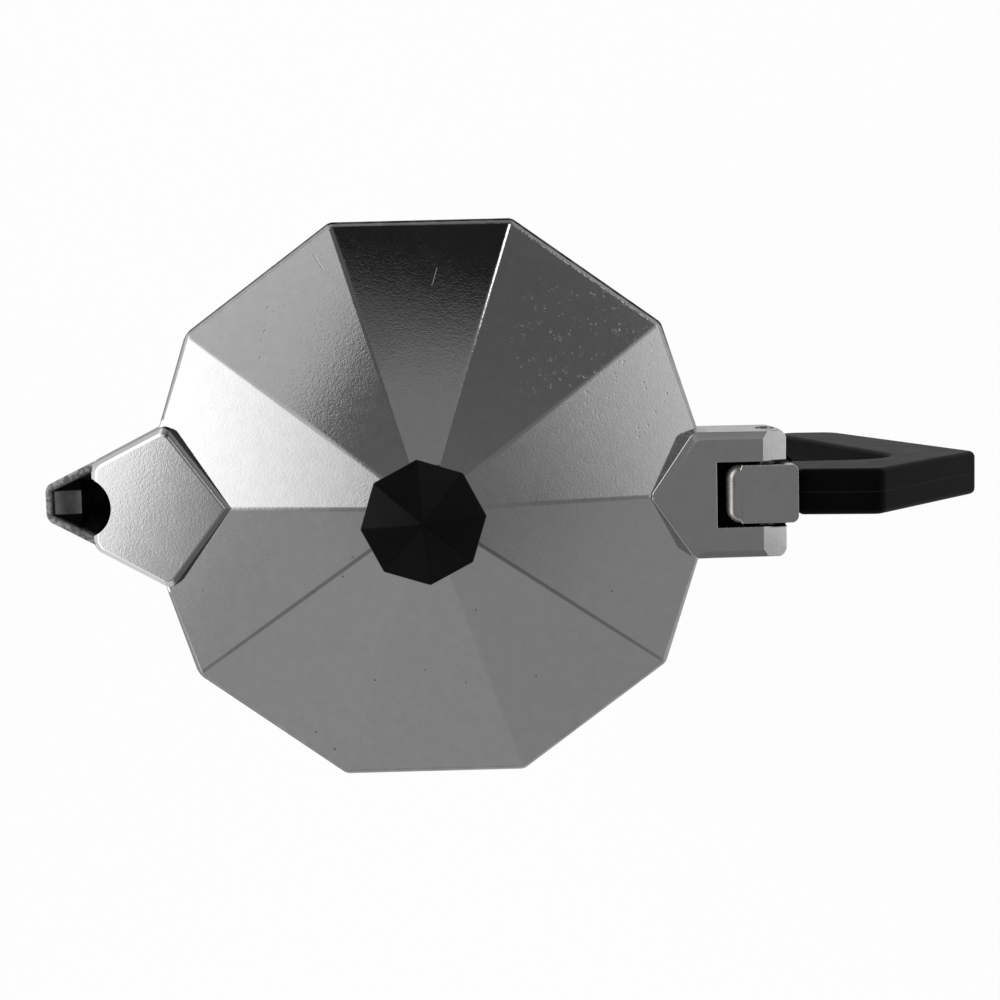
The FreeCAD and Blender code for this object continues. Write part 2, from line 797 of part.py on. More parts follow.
os.makedirs("parts", exist_ok=True)
for piece in (boiler, safety_valve_body, safety_valve_cap, safety_valve_washer, safety_valve_seal,
              safety_valve_plunger, safety_valve_spring, funnel, funnel_screen, gasket, filter_plate,
              collector, riser_column, handle, handle_screw, lid, hinge_pin, lid_knob, knob_insert,
              knob_washer, knob_screw):
    shape = piece()
    print(piece.__name__, shape.isValid(), len(shape.Solids), round(shape.Volume))
    shape.exportStep("parts/" + piece.__name__ + ".step")
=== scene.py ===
import bmesh
import bpy
import json
import math
from mathutils import Matrix, Vector


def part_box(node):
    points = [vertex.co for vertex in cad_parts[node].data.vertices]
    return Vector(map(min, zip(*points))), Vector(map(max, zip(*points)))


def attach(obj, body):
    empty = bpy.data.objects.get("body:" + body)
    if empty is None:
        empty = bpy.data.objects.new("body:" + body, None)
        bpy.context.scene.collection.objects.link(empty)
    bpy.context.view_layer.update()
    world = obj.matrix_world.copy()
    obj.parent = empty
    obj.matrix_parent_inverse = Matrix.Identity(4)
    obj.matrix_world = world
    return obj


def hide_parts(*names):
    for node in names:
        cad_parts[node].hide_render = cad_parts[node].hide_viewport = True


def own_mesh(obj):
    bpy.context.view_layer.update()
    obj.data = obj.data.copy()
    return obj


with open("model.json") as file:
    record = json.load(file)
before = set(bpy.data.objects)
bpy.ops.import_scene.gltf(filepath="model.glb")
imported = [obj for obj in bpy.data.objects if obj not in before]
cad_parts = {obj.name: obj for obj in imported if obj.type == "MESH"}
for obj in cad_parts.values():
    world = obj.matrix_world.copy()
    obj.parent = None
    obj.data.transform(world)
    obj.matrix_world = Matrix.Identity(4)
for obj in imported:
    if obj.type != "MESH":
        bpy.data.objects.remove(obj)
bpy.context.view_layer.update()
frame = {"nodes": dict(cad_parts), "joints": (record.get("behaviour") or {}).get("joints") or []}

# Camera. It looks down on the lid from nearly half a metre above it, a little from the
# far side and with the handle to the right, as a hand-held camera over a table would.
lens_mm = 76.06
sensor_mm = 36.0
near_clip = 0.01
aim_height = 0.199
aim_right, aim_up, aim_distance = -0.015325, 0.000125, 0.450
nod, lean, spin = 0.10992, 0.01223, 0.02409
turn_to_camera = Matrix.Rotation(nod, 3, "X") @ Matrix.Rotation(lean, 3, "Y") @ Matrix.Rotation(spin, 3, "Z")
aim_in_camera = Vector((aim_right, aim_up, -aim_distance))
camera_data = bpy.data.cameras.new("camera")
camera_data.sensor_width = sensor_mm
camera_data.lens = lens_mm
camera_data.clip_start = near_clip
camera = bpy.data.objects.new("camera", camera_data)
bpy.context.scene.collection.objects.link(camera)
camera_place = Vector((0, 0, aim_height)) - turn_to_camera.transposed() @ aim_in_camera
camera.matrix_world = Matrix.Translation(camera_place) @ turn_to_camera.transposed().to_4x4()
bpy.context.scene.camera = camera
bpy.context.scene.view_settings.view_transform = "Standard"


# Studio. A grey ceiling over pale walls, one large window towards the spout and a dark
# screen on the far side, all as a soft sky of directions, above a plain white floor. The
# camera itself sees plain white all round.
class Signal:
    """A shader socket as a value: arithmetic on it adds Math nodes."""

    def __init__(self, tree, socket=None):
        self.tree = tree
        self.socket = socket

    def add(self, kind, sockets=None, output=0, **settings):
        """Adds a node with its settings, then its values or links, and gives one of its outputs."""
        node = self.tree.nodes.new(kind)
        for name, value in settings.items():
            setattr(node, name, value)
        for name, value in (sockets or {}).items():
            if isinstance(value, Signal):
                self.tree.links.new(value.socket, node.inputs[name])
            else:
                node.inputs[name].default_value = value
        return Signal(self.tree, node.outputs[output] if node.outputs else None)

    def math(self, operation, *values):
        return self.add("ShaderNodeMath", dict(enumerate(values)), operation=operation)

    def __add__(self, other):
        return self.math("ADD", self, other)

    def __radd__(self, other):
        return self.math("ADD", other, self)

    def __sub__(self, other):
        return self.math("SUBTRACT", self, other)

    def __rsub__(self, other):
        return self.math("SUBTRACT", other, self)

    def __mul__(self, other):
        return self.math("MULTIPLY", self, other)

    def __rmul__(self, other):
        return self.math("MULTIPLY", other, self)

    def __abs__(self):
        return self.math("ABSOLUTE", self)

    def rise(self, low, high):
        """0 up to low, 1 from high on, and smooth between them."""
        limits = {"Value": self, "From Min": low, "From Max": high}
        return self.add("ShaderNodeMapRange", limits, interpolation_type="SMOOTHSTEP")

    def fall(self, low, high):
        return 1 - self.rise(low, high)

    def along(self, direction):
        """Share of a vector along a direction."""
        return self.add("ShaderNodeVectorMath", {0: self, 1: direction}, "Value", operation="DOT_PRODUCT")

    @property
    def x(self):
        return self.along((1, 0, 0))

    @property
    def y(self):
        return self.along((0, 1, 0))

    @property
    def z(self):
        return self.along((0, 0, 1))

    def gap(self, point):
        """Distance of a vector from a fixed point."""
        return self.add("ShaderNodeVectorMath", {0: self, 1: point}, "Value", operation="DISTANCE")

    def either(self, other):
        """The larger of two values."""
        return self.math("MAXIMUM", self, other)


def towards(azimuth, zenith):
    """Unit vector at these angles in degrees, azimuth from the handle round by the far side."""
    a, z = math.radians(azimuth), math.radians(zenith)
    return Vector((math.sin(z) * math.cos(a), math.sin(z) * math.sin(a), math.cos(z)))


world = bpy.data.worlds.new("studio")
bpy.context.scene.world = world
world.use_nodes = True
world.node_tree.nodes.clear()
sky = Signal(world.node_tree)
direction = sky.add("ShaderNodeTexCoord", output="Generated")


def glow(azimuth, zenith, inner, outer):
    """Round patch of the sky, full within one angle of its middle and gone at another."""
    cosines = math.cos(math.radians(outer)), math.cos(math.radians(inner))
    return direction.along(towards(azimuth, zenith)).rise(*cosines)


def below(inner, outer):
    """Band of the sky that starts at one zenith angle and is full at another."""
    return glow(0, 180, 180 - outer, 180 - inner)


ceiling_level = 0.2
ceiling_lamp_level = 0.1
wall_level = 0.16
side_wall_level = 0.42
window_level = 0.96
side_window_level = 0.48
horizon_level = 0.35
ridge_lamp_level = 2.2
corner_lamp_level = 1.6
ceiling_edge_shade = 0.2
far_corner_shade = 0.35
near_wall_shade = 0.3
screen_shade = 0.86
ridge_shade = 0.45
ceiling_edge = below(25, 36)
walls = below(37, 43)
horizon = below(56, 78)
ceiling_lamp = glow(92, 18, 15.6, 16.2)
far_corner = glow(90, 75, 48, 62)
near_wall = glow(330, 60, 20, 60)
side_wall = glow(152, 117, 81.8, 82.7)
window = glow(174, 80, 34.5, 44.5)
side_window = glow(20, 95, 53.1, 61.6)
screen = glow(84, 70, 35.1, 35.6)
ridges = glow(222, 42, 3.5, 9) + glow(315, 40, 3.5, 9)
ridge_lamp = glow(71, 36.9, 2.6, 4.4)
corner_lamp = glow(36, 62, 4, 8)
light = ceiling_level * (1 - ceiling_edge_shade * ceiling_edge) * (1 - far_corner_shade * far_corner)
light = light + ceiling_lamp_level * ceiling_lamp + window_level * window
light = light + wall_level * walls * (1 - near_wall_shade * near_wall)
light = light + side_wall_level * side_wall + side_window_level * side_window
light = light * (1 - screen_shade * screen) + horizon_level * horizon
light = light * (1 - ridge_shade * ridges) + ridge_lamp_level * ridge_lamp + corner_lamp_level * corner_lamp
plain = sky.add("ShaderNodeLightPath", output="Is Camera Ray")
light = light * (1 - plain) + plain
background = sky.add("ShaderNodeBackground", {"Color": (1, 1, 1, 1), "Strength": light})
sky.add("ShaderNodeOutputWorld", {"Surface": background})

floor_size = 12.0
floor_drop = 0.0002
paper_color = (0.95, 0.95, 0.95, 1)
paper_glow = 0.97
far_fade = 0.55
fade_start, fade_end = 0.15, 1.2
bpy.ops.object.select_all(action="DESELECT")
bpy.ops.mesh.primitive_plane_add(size=floor_size, location=(0, 0, -floor_drop))
floor = bpy.context.object
floor.name = "floor"
floor_finish = bpy.data.materials.new("white_table")
floor_finish.use_nodes = True
floor_finish.node_tree.nodes.clear()
table = Signal(floor_finish.node_tree)
ground = table.add("ShaderNodeTexCoord", output="Object")
distance = ground.gap((0, 0, 0))
mirrored = sum(table.add("ShaderNodeLightPath", output=ray)
               for ray in ("Is Glossy Ray", "Is Transmission Ray"))
seen = table.add("ShaderNodeLightPath", output="Is Camera Ray")
seen = seen + mirrored * (1 - far_fade * distance.rise(fade_start, fade_end))
paper = table.add("ShaderNodeBsdfDiffuse", {"Color": paper_color})
white = table.add("ShaderNodeEmission", {"Strength": 1.0})
mixed = table.add("ShaderNodeMixShader", {0: seen * paper_glow, 1: paper, 2: white})
table.add("ShaderNodeOutputMaterial", {"Surface": mixed})
floor.data.materials.append(floor_finish)

# Boiler. The water vessel under the pot, cast in one piece of aluminium with ten flat
# sides, a threaded neck and a boss for the valve. Its outside is ground and buffed.
mm = 0.001
micron = 1e-6
merge_gap = 0.002 * mm
flat_angle = math.radians(0.4)
smooth_angle = math.radians(35)


def casting(node, name):
    """Copy of a solid with whole flat faces, so that its edges can be worked."""
    bpy.ops.object.select_all(action="DESELECT")
    piece = bpy.data.objects.new(name, frame["nodes"][node].data.copy())
    bpy.context.scene.collection.objects.link(piece)
    piece.select_set(True)
    bpy.context.view_layer.objects.active = piece
    piece.data.materials.clear()
    bpy.ops.mesh.customdata_custom_splitnormals_clear()
    bpy.ops.object.mode_set(mode="EDIT")
    bpy.ops.mesh.select_all(action="SELECT")
    bpy.ops.mesh.remove_doubles(threshold=merge_gap)
    bpy.ops.mesh.dissolve_limited(angle_limit=flat_angle)
    bpy.ops.object.mode_set(mode="OBJECT")
    return piece


def round_edges(piece, width, segments, wanted):
    """Rounds the edges that wanted(middle, direction, turn) picks, by place in mm and turn in degrees."""
    bpy.ops.object.mode_set(mode="EDIT")
    bpy.ops.mesh.select_mode(type="EDGE")
    bpy.ops.mesh.select_all(action="DESELECT")
    mesh = bmesh.from_edit_mesh(piece.data)
    for edge in mesh.edges:
        if len(edge.link_faces) == 2:
            start, end = (vertex.co / mm for vertex in edge.verts)
            turn = math.degrees(edge.calc_face_angle_signed())
            edge.select_set(bool(wanted((start + end) / 2, (end - start).normalized(), turn)))
    bmesh.update_edit_mesh(piece.data)
    bpy.ops.mesh.bevel(offset=width * mm, segments=segments, affect="EDGES", clamp_overlap=False)
    bpy.ops.object.mode_set(mode="OBJECT")


def smooth(piece):
    """Smooth shading over rounded edges, with the flat faces kept flat."""
    bpy.ops.object.shade_smooth_by_angle(angle=smooth_angle)
    bpy.ops.object.modifier_add(type="WEIGHTED_NORMAL")
    piece.modifiers[-1].keep_sharp = True
    bpy.ops.object.modifier_apply(modifier=piece.modifiers[-1].name)


def new_finish(name):
    """Empty material, and the coordinates of its piece."""
    finish = bpy.data.materials.new(name)
    finish.use_nodes = True
    finish.node_tree.nodes.clear()
    return finish, Signal(finish.node_tree).add("ShaderNodeTexCoord", output="Object")


def noise(place, size, detail=2.0):
    """Cloudy pattern about 0.5, with features of this size."""
    return place.add("ShaderNodeTexNoise", {"Vector": place, "Scale": 1 / size, "Detail": detail})


def dots(place, spacing, radius):
    """Small round spots, one in each cell of this size."""
    cells = place.add("ShaderNodeTexVoronoi", {"Vector": place, "Scale": 1 / spacing})
    return cells.fall(0.4 * radius / spacing, radius / spacing)


def hairs(place, lengthwise, across):
    """Fine long scratches along one direction."""
    hair_length, hair_spacing = 24 * mm, 1.1 * mm
    steps = {0: place.along(lengthwise) * (1 / hair_length), 1: place.along(across) * (1 / hair_spacing)}
    strand = noise(place.add("ShaderNodeCombineXYZ", steps), 1.0, 0)
    return abs(strand - 0.5).fall(0.003, 0.016)


def mix(share, low, high):
    """Colour between two others."""
    return share.add("ShaderNodeMix", {0: share, 6: low, 7: high}, output=2, data_type="RGBA")


def shade(finish, color, rough, relief, **constants):
    """Ends a finish in its shader, with the relief in metres."""
    normal = relief.add("ShaderNodeBump", {"Height": relief, "Distance": 1.0, "Strength": 1.0})
    sockets = {"Base Color": color, "Roughness": rough, "Normal": normal}
    sockets.update({name.replace("_", " "): value for name, value in constants.items()})
    surface = relief.add("ShaderNodeBsdfPrincipled", sockets)
    relief.add("ShaderNodeOutputMaterial", {"Surface": surface})
    return finish


def cast_aluminium(name, bloom=None, scratches=None, unbuffed=None, dirt_and_shade=None):
    """Buffed casting with a fine peel, pores and hair scratches, and with patches that change it, one of them
    darkening it towards black for dirt and for painted shade.
    """
    finish, place = new_finish(name)
    wave = noise(place, 14 * mm, 1)
    skin = noise(place, 2.4 * mm, 3)
    peel = noise(place, 0.3 * mm, 1)
    grain = noise(place, 0.6 * mm, 2)
    pores = dots(place, 5.0 * mm, 0.2 * mm) * wave.rise(0.5, 0.58)
    pores = pores + dots(place, 2.3 * mm, 0.1 * mm) * 0.4
    wear = hairs(place, (0.8, 0.6, 0.2), (-0.6, 0.8, 0.3))
    wear = wear + hairs(place, (-0.5, 0.8, 0.4), (0.8, 0.5, -0.2))
    relief = wave * (8 * micron) + skin * (0.8 * micron) + peel * (2.4 * micron) + grain * (4.0 * micron)
    relief = relief - pores * (8 * micron) - wear * wave.rise(0.45, 0.6) * (0.5 * micron)
    color = mix(skin * 0.5 + peel * 0.5, (0.58, 0.58, 0.585, 1), (0.78, 0.78, 0.785, 1))
    color = mix(pores * 0.4, color, (0.34, 0.34, 0.34, 1))
    rough = 0.035 + skin * 0.04 + pores * 0.2
    if scratches:
        cut = scratches(place)
        relief = relief - cut * (10 * micron)
        color = mix(cut * 0.2, color, (0.55, 0.55, 0.55, 1))
    if unbuffed:
        raw = unbuffed(place)
        relief = relief + raw * peel * (6 * micron)
        rough = rough + raw * 0.36
        color = mix(raw, color, mix(skin, (0.32, 0.32, 0.32, 1), (0.54, 0.54, 0.54, 1)))
    if bloom:
        dull = bloom(place)
        relief = relief + dull * peel * (5 * micron)
        rough = rough + dull * (0.2 + 0.15 * skin)
        color = mix(dull * 0.7, color, (0.44, 0.42, 0.39, 1))
    # Darkening towards near black: real dirt and coffee, and also painted shade in recesses and on walls
    # turned from the light.
    if dirt_and_shade:
        darkness = dirt_and_shade(place)
        rough = rough + darkness * 0.4
        color = mix(darkness, color, (0.012, 0.011, 0.010, 1))
    return shade(finish, color, rough, relief, Metallic=1.0)


def facing(place):
    """Direction that the surface faces, in its piece's own frame."""
    return place.add("ShaderNodeTexCoord", output="Normal")


def flame_bloom(place):
    """Grey bloom that the flame leaves round the foot."""
    return place.z.fall(1 * mm, 18 * mm) * noise(place, 9 * mm, 4).rise(0.35, 0.75) * 0.7


boiler = casting("boiler", "boiler_casting")
corner_round = 0.9
foot_round = 0.4
boiler_top = 92.2
wall_reach = 44
round_edges(boiler, corner_round, 4, lambda m, d, turn: 18 < turn < 42 and abs(d.z) > 0.5
            and m.z < boiler_top and m.xy.length > wall_reach)
round_edges(boiler, foot_round, 3, lambda m, d, turn: 30 < turn < 60 and abs(d.z) < 0.2
            and m.z < boiler_top and m.xy.length > wall_reach)
smooth(boiler)
boiler.data.materials.append(cast_aluminium("boiler_aluminium", bloom=flame_bloom))
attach(boiler, "boiler")
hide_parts("boiler")

# Safety valve. A turned brass body and cap, screwed into the boiler on a red fibre washer,
# with a plunger and its rubber seal that a steel spring holds shut.
valve_low, valve_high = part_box("safety_valve_body")
valve_middle = (Vector(valve_low) + Vector(valve_high)) / 2


def turned_metal(name, middle, axle, dark, light, rough):
    """Metal from a lathe, with fine rings about its axle."""
    finish, place = new_finish(name)
    arm = place.add("ShaderNodeVectorMath", {0: place, 1: middle}, operation="SUBTRACT")
    moment = arm.add("ShaderNodeVectorMath", {0: arm, 1: axle}, operation="CROSS_PRODUCT")
    radius = moment.gap((0, 0, 0))
    ring_size = 0.12 * mm
    rings = noise(radius.add("ShaderNodeCombineXYZ", {0: radius, 1: arm.along(axle)}), ring_size, 1)
    tarnish = noise(place, 3 * mm, 4)
    color = mix(rings * 0.4 + tarnish * 0.6, dark, light)
    return shade(finish, color, rough + tarnish * 0.14, rings * (1.2 * micron), Metallic=1.0)


def soft_stuff(name, size, dark, light, rough, coarse):
    """Moulded rubber or pressed fibre: mottled and matt."""
    finish, place = new_finish(name)
    mottle = noise(place, size, 4)
    grain = noise(place, 0.2 * mm)
    return shade(finish, mix(mottle, dark, light), rough + mottle * 0.2, grain * coarse + mottle * coarse)


def dress(finish, *nodes):
    """Gives solids that keep their shape a finish."""
    for node in nodes:
        for slot in frame["nodes"][node].material_slots:
            slot.material = finish


brass_dark, brass_light = (0.52, 0.36, 0.14, 1), (0.74, 0.55, 0.26, 1)
steel_dark, steel_light = (0.42, 0.42, 0.43, 1), (0.66, 0.66, 0.67, 1)
rubber_dark, rubber_light = (0.62, 0.60, 0.54, 1), (0.8, 0.78, 0.72, 1)
fibre_dark, fibre_light = (0.22, 0.05, 0.03, 1), (0.44, 0.12, 0.08, 1)
valve_axle = (0, 1, 0)
dress(turned_metal("valve_brass", valve_middle, valve_axle, brass_dark, brass_light, 0.16),
      "safety_valve_body", "safety_valve_cap", "safety_valve_plunger")
valve_lift = next(joint for joint in frame["joints"] if joint["name"] == "valve_lift")
spring_seat = valve_lift["deforming_nodes"][0]["fixed_end_y_m"]
spring_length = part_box("safety_valve_spring")[1][1] - spring_seat
spring = casting("safety_valve_spring", "valve_spring_coil")
smooth(spring)
spring_steel = turned_metal("valve_spring_steel", valve_middle, valve_axle, steel_dark, steel_light, 0.2)
spring.data.materials.append(spring_steel)
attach(spring, "boiler")
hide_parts("safety_valve_spring")
1 - valve_lift["range_m"][1] / spring_length
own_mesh(spring)
dress(soft_stuff("valve_seal_rubber", 1.2 * mm, rubber_dark, rubber_light, 0.5, 3 * micron),
      "safety_valve_seal")
dress(soft_stuff("washer_fibre", 0.5 * mm, fibre_dark, fibre_light, 0.55, 6 * micron), "safety_valve_washer")

# Funnel. The coffee basket and its stem, spun from aluminium sheet, with a perforated
# bottom pressed in; it hangs by its lip in the boiler's neck.
sheet_dark, sheet_light = (0.60, 0.60, 0.60, 1), (0.80, 0.80, 0.80, 1)
pot_middle, upright = (0, 0, 0), (0, 0, 1)
spun_aluminium = turned_metal("spun_aluminium", pot_middle, upright, sheet_dark, sheet_light, 0.2)
dress(spun_aluminium, "funnel", "funnel_screen")

# Gasket and filter plate. An off-white rubber ring under the collector seals the two
# halves and holds the perforated plate of aluminium sheet up by its edge.
dress(soft_stuff("gasket_rubber", 4 * mm, rubber_dark, rubber_light, 0.5, 4 * micron), "gasket")
dress(spun_aluminium, "filter_plate")

# Collector. The jug above the waist, cast with its pouring spout, the hinge lug and the
# tang that the handle sits on; the riser in its middle is cast too. It screws on the boiler.


def slice_faces(piece, wanted, point, away, **fill):
    """Cuts the faces that wanted(corner) picks with a plane through a point, both places in mm."""
    bpy.ops.object.mode_set(mode="EDIT")
    bpy.ops.mesh.select_mode(type="FACE")
    bpy.ops.mesh.select_all(action="DESELECT")
    mesh = bmesh.from_edit_mesh(piece.data)
    for face in mesh.faces:
        face.select_set(any(wanted(vertex.co / mm) for vertex in face.verts))
    bmesh.update_edit_mesh(piece.data)
    bpy.ops.mesh.bisect(plane_co=point * mm, plane_no=away, **fill)
    bpy.ops.object.mode_set(mode="OBJECT")


collector = casting("collector", "collector_casting")
rim_height = 196.0
spout_root = -57
lip_slope = 0.2867
lug_top = 204.8
lug_front_end = 66.4
rim_inside = 50
lip_low = 183
waist_top = 94
lip_round = 0.5
rim_round = 0.3
lug_front_round = 1.6
lug_round = 0.25
waist_round = 0.4
spout_tip = Vector((-83.7, 3.8, 187.93))
spout_shoulder = Vector((-55.56, 17.35, 196.0))
spout_keel = Vector((-55.98, 0.41, 141.67))
keel_clear = 0.02
tip_round = 2.6
tip_reach = -62
inner_tip = Vector((-81.5, 2.42, 188.56))
inner_shift = Vector((-0.8, 0.4, -0.23))


def move_corner(piece, corner, shift):
    """Moves one corner of a piece, its place and shift in mm."""
    bpy.ops.object.mode_set(mode="EDIT")
    bpy.ops.mesh.select_mode(type="VERT")
    bpy.ops.mesh.select_all(action="DESELECT")
    mesh = bmesh.from_edit_mesh(piece.data)
    for vertex in mesh.verts:
        vertex.select_set((vertex.co / mm - corner).length < 0.1)
    bmesh.update_edit_mesh(piece.data)
    bpy.ops.transform.translate(value=shift * mm)
    bpy.ops.object.mode_set(mode="OBJECT")


for side in (1, -1):
    mirror = Vector((1, side, 1))
    move_corner(collector, inner_tip * mirror, inner_shift * mirror)
    tip, shoulder, keel = (Vector((v.x, side * v.y, v.z)) for v in (spout_tip, spout_shoulder, spout_keel))
    corner = (keel - tip).normalized()
    front = Vector((0, 1, 0)).cross(corner).normalized()
    flank = side * (shoulder - tip).cross(corner).normalized()
    middle = tip - tip_round * (front + flank) / (1 + front.dot(flank))
    for share in (0.25, 0.5, 0.75):
        away = front.slerp(flank, share)
        start = middle + tip_round * away
        run = keel + keel_clear * away - start
        away = (away * run.length_squared - run * run.dot(away)).normalized()
        slice_faces(collector, lambda m: m.x < tip_reach, start, away, use_fill=True, clear_outer=True)
round_edges(collector, corner_round, 4, lambda m, d, turn: 18 < turn < 42 and abs(d.z) > 0.6
            and m.xy.length > wall_reach)
round_edges(collector, lip_round, 3, lambda m, d, turn: turn > 65 and abs(d.z) < 0.6
            and m.x < spout_root and m.z > lip_low)
round_edges(collector, rim_round, 2, lambda m, d, turn: turn > 80 and abs(m.z - rim_height) < 0.5
            and m.xy.length > rim_inside and m.x > spout_root)
slice_faces(collector, lambda m: m.z > rim_height and m.x > spout_root,
            Vector((lug_front_end, 0, 0)), Vector((1, 0, 0)))
round_edges(collector, lug_front_round, 5, lambda m, d, turn: turn > 60
            and m.z > lug_top and m.x < lug_front_end - 0.2)
round_edges(collector, lug_round, 2, lambda m, d, turn: turn > 60
            and m.z > lug_top and m.x > lug_front_end + 0.2)
round_edges(collector, waist_round, 2, lambda m, d, turn: 40 < turn < 45
            and m.z < waist_top and m.xy.length > wall_reach)
smooth(collector)


def plan_of(place):
    """Place with its height left out."""
    return place.add("ShaderNodeVectorMath", {0: place, 1: (1, 1, 0)}, operation="MULTIPLY")


def jug_bloom(place):
    """Coffee-stained inside, short of the spout's tip, which the buffing wheel doesn't reach."""
    inside = facing(place).along(plan_of(place)).fall(-3 * mm, -0.5 * mm)
    tip = place.x.rise(-76 * mm, -75 * mm)
    return inside * (0.6 + 0.5 * noise(place, 12 * mm, 3)) * tip


def spout_lips(place):
    """Lips of the spout, on their sloping plane."""
    return place.along((-lip_slope, 0, 1)).rise(210.0 * mm, 211.0 * mm) * place.x.fall(-64 * mm, -62 * mm)


def jug_unbuffed(place):
    """Lips of the spout, and the sides of the lug and its bracket, which the wheel only grazes."""
    steep = abs(facing(place).z).fall(0.5, 0.85)
    lug = steep * place.x.rise(62 * mm, 63 * mm) * place.z.rise(170 * mm, 184 * mm)
    return spout_lips(place) + lug


def jug_shade_and_coffee(place):
    """Painted shade on the lug, black down where the fork hides it, and coffee on the spout's lips."""
    # Painted shade: the lug's sides and the tang under the fork are painted black.
    depth = place.z.fall(200 * mm, 204 * mm) * place.z.rise(192 * mm, 193 * mm)
    hinge_shade = depth * place.x.rise(58.5 * mm, 59.5 * mm) * abs(place.y).fall(7.4 * mm, 7.8 * mm)
    return hinge_shade + spout_lips(place) * (0.22 + 0.4 * noise(place, 1.2 * mm, 3).rise(0.42, 0.6))


jug_finish = cast_aluminium("collector_aluminium", bloom=jug_bloom, unbuffed=jug_unbuffed, dirt_and_shade=jug_shade_and_coffee)
collector.data.materials.append(jug_finish)
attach(collector, "collector")
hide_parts("collector")
dress(cast_aluminium("riser_aluminium"), "riser_column")

# Spout sill. A small shelf cast across the inside of the spout's tip, under its lips,
# which steadies the stream; its free edge is rounded by the coffee and the brush.
sill_start, sill_end = -82.6, -75.6
sill_top = 186.2
sill_rise = 1.3
sill_pool = 78.6
sill_thick = 1.6
sill_tip_width, sill_width = 6.0, 9.4
sill_round = 0.6
sill_middle = Vector(((sill_start + sill_end) / 2, 0, sill_top - sill_thick / 2))
bpy.ops.object.select_all(action="DESELECT")
bpy.ops.mesh.primitive_cube_add(size=1.0, location=sill_middle * mm,
                                scale=Vector((sill_end - sill_start, sill_width, sill_thick)) * mm)
bpy.ops.object.transform_apply(location=True, rotation=False, scale=True)
sill = bpy.context.object
sill.name = "spout_sill"
bpy.ops.object.mode_set(mode="EDIT")
bpy.ops.mesh.select_mode(type="FACE")
bpy.ops.mesh.select_all(action="DESELECT")
sill_mesh = bmesh.from_edit_mesh(sill.data)
for face in sill_mesh.faces:
    face.select_set(face.normal.x < -0.9)
bmesh.update_edit_mesh(sill.data)
bpy.ops.transform.resize(value=(1, sill_tip_width / sill_width, 1))
bpy.ops.transform.translate(value=(0, 0, sill_rise * mm))
bpy.ops.object.mode_set(mode="OBJECT")
round_edges(sill, sill_round, 4, lambda m, d, turn: turn > 60 and m.x > sill_end - 0.1 and abs(d.y) > 0.9)
smooth(sill)


def coffee_and_shade(place):
    """Old coffee, patchy and heavier in a pool across the stream, with painted shade that makes the sill
    black beside the stream.
    """
    # Painted shade: the sill is painted black on both sides of the stream.
    shaded_sides = abs(place.y).rise(2.1 * mm, 2.7 * mm)
    pool = abs(place.x + sill_pool * mm).fall(0.8 * mm, 3.2 * mm)
    return shaded_sides.either(0.15 + 0.4 * pool + 0.3 * noise(place, 1.5 * mm, 3))


sill.data.materials.append(cast_aluminium("sill_aluminium", dirt_and_shade=coffee_and_shade))
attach(sill, "collector")

# Handle. Black bakelite, moulded in one piece over the tang and held by a steel screw,
# with a fine parting line along its middle where the halves of the mould met.


def bakelite(name, rough, gloss, seam=None):
    """Moulded black resin with a faint flow pattern and a seam where it is given."""
    finish, place = new_finish(name)
    flow = noise(place, 7 * mm, 3)
    grain = noise(place, 0.5 * mm)
    relief = flow * (8 * micron) + grain * (0.8 * micron)
    color = mix(flow, (0.001, 0.001, 0.001, 1), (0.005, 0.005, 0.005, 1))
    if seam:
        line = seam(place)
        relief = relief + line * (25 * micron)
        color = mix(line, color, (0.014, 0.014, 0.014, 1))
    return shade(finish, color, rough + flow * 0.12, relief, Specular_IOR_Level=gloss)


def parting_line(place):
    """Line along the middle of the handle."""
    return abs(place.y).fall(0.05 * mm, 0.18 * mm)


screw_low, screw_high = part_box("handle_screw")
screw_middle = (Vector(screw_low) + Vector(screw_high)) / 2
handle_rough, handle_gloss = 0.46, 0.04
dress(bakelite("handle_bakelite", handle_rough, handle_gloss, parting_line), "handle")
dress(turned_metal("handle_screw_steel", screw_middle, upright, steel_dark, steel_light, 0.2), "handle_screw")

# Lid. A shallow ten-sided roof, cast with the raised spout cover at its front and the
# hinge fork at its back, then buffed; use has scratched and pitted it.
lid = casting("lid", "lid_casting")
roof_edge = 199
roof_edge_top = 201
ridge_end = 42
cover_end = -40
cover_front = -66
cover_half = 17.9
cover_root = Vector((-55.6, 0, 203.4))
fork_apex = 45
fork_root = 57.5
fork_end = 75.8
fork_half = 13.5
fork_low = 203.3
fork_limit = 77
knuckle_round = 2.0
cover_corner_round = 1.5
cover_far_round, cover_near_round = 0.4, 0.2
plate_foot_round = 0.9
ridge_round = 0.6
roof_edge_round = 0.45
slope_round = 0.12
fork_round = 0.15


def on_cover_top(m):
    """Whether a place in mm lies on the cover's sloping top."""
    return abs(m.z - cover_root.z - lip_slope * (m.x - cover_root.x)) < 0.3


